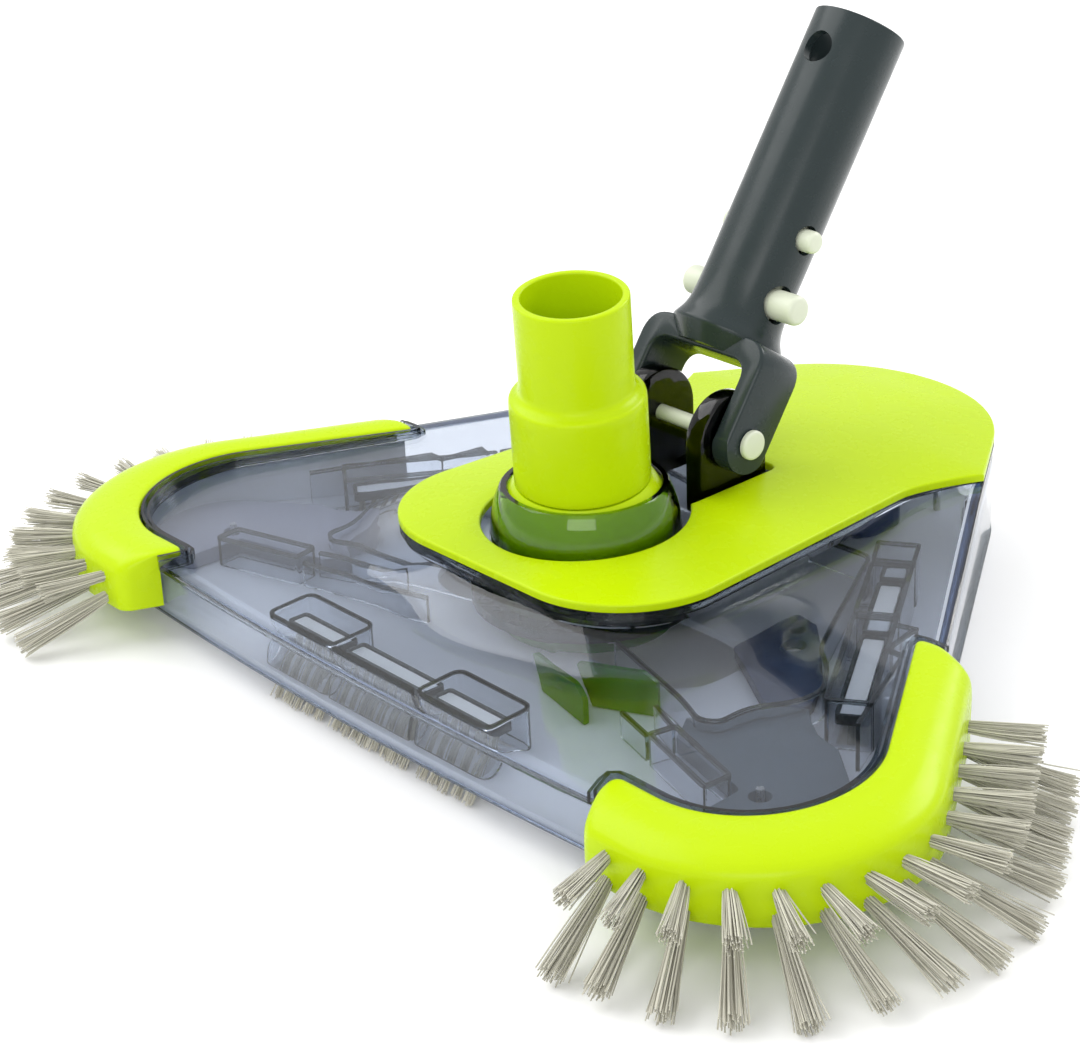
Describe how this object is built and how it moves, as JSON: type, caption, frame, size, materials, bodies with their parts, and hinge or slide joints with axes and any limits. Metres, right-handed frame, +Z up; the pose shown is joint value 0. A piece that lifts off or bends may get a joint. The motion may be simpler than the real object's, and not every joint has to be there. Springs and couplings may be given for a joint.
{
  "type": "manual vacuum head",
  "caption": "Weighted triangular pool vacuum head: smoked hood, lime cover and corner bumpers with brush tufts, ball-jointed hose cuff and hinged pole handle.",
  "frame": {"origin": "centre of the bounding box at floor level, under the tips of the brushes", "axes": "+X to the right wing, +Y towards the rounded nose, +Z up; the flat brushed edge faces -Y"},
  "size_m": [0.3708, 0.2677, 0.1689],
  "materials": {
    "smoked_plastic": "clear smoked blue-grey moulded plastic, polished",
    "lime_plastic": "fluorescent lime moulded plastic, satin gloss",
    "charcoal_plastic": "dark blue-grey moulded plastic, glossy",
    "natural_nylon": "natural nylon, slightly translucent",
    "nylon_bristle": "grey-beige nylon filament",
    "stainless_steel": "stainless self-tapping screws",
    "coated_weight": "dark blue-grey coated steel"
  },
  "bodies": {
    "head": {"ball_retainer": "charcoal_plastic", "base_plate": "smoked_plastic", "base_screw_1": "stainless_steel", "base_screw_2": "stainless_steel", "base_screw_3": "stainless_steel", "base_screw_4": "stainless_steel", "brush_row_left_lower": "nylon_bristle", "brush_row_left_upper": "nylon_bristle", "brush_row_right_lower": "nylon_bristle", "brush_row_right_upper": "nylon_bristle", "bumper_left": "lime_plastic", "bumper_right": "lime_plastic", "bumper_screw_left_1": "stainless_steel", "bumper_screw_left_2": "stainless_steel", "bumper_screw_right_1": "stainless_steel", "bumper_screw_right_2": "stainless_steel", "flow_guide": "lime_plastic", "front_brush_bristles": "nylon_bristle", "front_brush_holder": "charcoal_plastic", "hinge_pin": "natural_nylon", "nose_weight": "coated_weight", "pin_cap": "natural_nylon", "retainer_screw_1": "stainless_steel", "retainer_screw_2": "stainless_steel", "retainer_screw_3": "stainless_steel", "side_brush_left_bristles": "nylon_bristle", "side_brush_left_holder": "charcoal_plastic", "side_brush_right_bristles": "nylon_bristle", "side_brush_right_holder": "charcoal_plastic", "smoked_hood": "smoked_plastic", "top_cover": "lime_plastic", "wing_weight_left": "coated_weight", "wing_weight_right": "coated_weight"},
    "ball": {"swivel_ball": "lime_plastic"},
    "cuff": {"hose_cuff": "lime_plastic", "cuff_snap_ring": "natural_nylon"},
    "handle": {"pole_handle": "charcoal_plastic", "clip_bend": "natural_nylon"},
    "lock_arm_right": {"clip_arm_right": "natural_nylon"},
    "lock_arm_left": {"clip_arm_left": "natural_nylon"}
  },
  "joints": [
    {"name": "handle_pivot", "type": "hinge", "parent": "head", "child": "handle", "pos_m": [0, 0.0268, 0.0592], "axis": [1, 0, 0], "range_deg": [-46, 34]},
    {"name": "ball_tilt", "type": "hinge", "parent": "head", "child": "ball", "pos_m": [0, -0.0145, 0.0407], "axis": [1, 0, 0], "range_deg": [-13, 2.6]},
    {"name": "cuff_spin", "type": "hinge", "parent": "ball", "child": "cuff", "pos_m": [0, -0.0145, 0.0407], "axis": [0.0676, -0.0924, 0.9934], "continuous": true},
    {"name": "lock_button_right", "type": "hinge", "parent": "handle", "child": "lock_arm_right", "pos_m": [0.0087, 0.07944, 0.13465], "axis": [0, 0.8202, -0.5721], "range_deg": [0, 6.5], "stiffness_Nm_per_rad": 0.3},
    {"name": "lock_button_left", "type": "hinge", "parent": "handle", "child": "lock_arm_left", "pos_m": [-0.0087, 0.07944, 0.13465], "axis": [0, -0.8202, 0.5721], "range_deg": [0, 6.5], "stiffness_Nm_per_rad": 0.3}
  ],
  "couplings": [
    {"joint": "lock_button_left", "follows": "lock_button_right", "ratio": 1}
  ]
}
